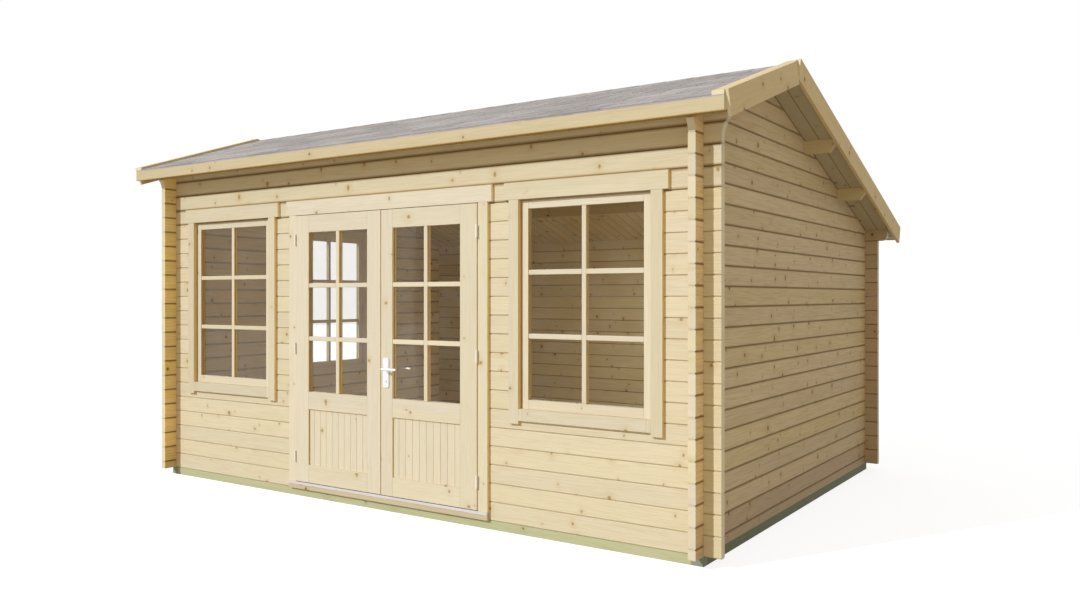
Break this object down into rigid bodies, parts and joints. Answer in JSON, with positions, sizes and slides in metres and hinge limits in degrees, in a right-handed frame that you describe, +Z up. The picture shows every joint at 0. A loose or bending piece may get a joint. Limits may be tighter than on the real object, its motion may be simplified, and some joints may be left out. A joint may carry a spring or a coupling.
{
  "type": "log cabin",
  "caption": "One-room garden log cabin of interlocking pine logs with a glazed double door, three windows and an asymmetric saddle roof.",
  "frame": {"origin": "on the ground under the middle of the four walls", "axes": "+X along the front from left to right seen from outside, +Y from the front wall to the rear wall, +Z up"},
  "size_m": [5.032, 3.74, 2.8471],
  "materials": {
    "pale_pine": "planed softwood, matt, with grain and small knots",
    "floor_wood": "planed tongue and groove boards, matt",
    "treated_timber": "pressure treated softwood, greenish, matt",
    "roof_felt": "mineral grey granules on bitumen, matt",
    "roof_insulation": "pale rigid board, matt, hidden",
    "clear_glass": "clear double glazed pane, smooth",
    "sill_aluminium": "plain mill finish, satin",
    "brushed_metal": "satin"
  },
  "bodies": {
    "cabin": {"door_casing": "pale_pine", "door_frame": "pale_pine", "door_sill": "pale_pine", "door_threshold": "sill_aluminium", "floor_boards": "floor_wood", "floor_joists": "treated_timber", "foundation_beams": "treated_timber", "front_bargeboards": "pale_pine", "front_fascia": "pale_pine", "front_roof_boards": "pale_pine", "front_roof_covering": "roof_felt", "front_roof_insulation": "roof_insulation", "front_wall_left": "pale_pine", "front_wall_over_door": "pale_pine", "front_wall_right": "pale_pine", "gable_window_frame": "pale_pine", "gable_window_glass": "clear_glass", "gable_window_sash": "pale_pine", "left_frame_hinges": "brushed_metal", "left_gable_wall": "pale_pine", "left_window_frame": "pale_pine", "left_window_glass": "clear_glass", "left_window_sash": "pale_pine", "purlins": "pale_pine", "rear_bargeboards": "pale_pine", "rear_fascia": "pale_pine", "rear_roof_boards": "pale_pine", "rear_roof_covering": "roof_felt", "rear_roof_insulation": "roof_insulation", "rear_wall": "pale_pine", "right_frame_hinges": "brushed_metal", "right_gable_wall": "pale_pine", "right_window_frame": "pale_pine", "right_window_glass": "clear_glass", "right_window_sash": "pale_pine"},
    "left_door": {"left_door_glass": "clear_glass", "left_door_leaf": "pale_pine", "left_door_panel": "pale_pine", "left_leaf_hinges": "brushed_metal"},
    "right_door": {"right_door_glass": "clear_glass", "right_door_leaf": "pale_pine", "right_door_panel": "pale_pine", "right_leaf_hinges": "brushed_metal", "lock_plates": "brushed_metal"},
    "door_handle": {"door_lever": "brushed_metal"}
  },
  "joints": [
    {"name": "left_door_hinge", "type": "hinge", "parent": "cabin", "child": "left_door", "pos_m": [-0.8165, -1.681, 1.055], "axis": [0, 0, -1], "range_deg": [0, 110]},
    {"name": "right_door_hinge", "type": "hinge", "parent": "cabin", "child": "right_door", "pos_m": [0.8165, -1.681, 1.055], "axis": [0, 0, 1], "range_deg": [0, 110]},
    {"name": "lever_spindle", "type": "hinge", "parent": "right_door", "child": "door_handle", "pos_m": [0.061, -1.655, 0.947], "axis": [0, 1, 0], "range_deg": [0, 40], "stiffness_Nm_per_rad": 1.5, "springref_deg": -28.65}
  ]
}
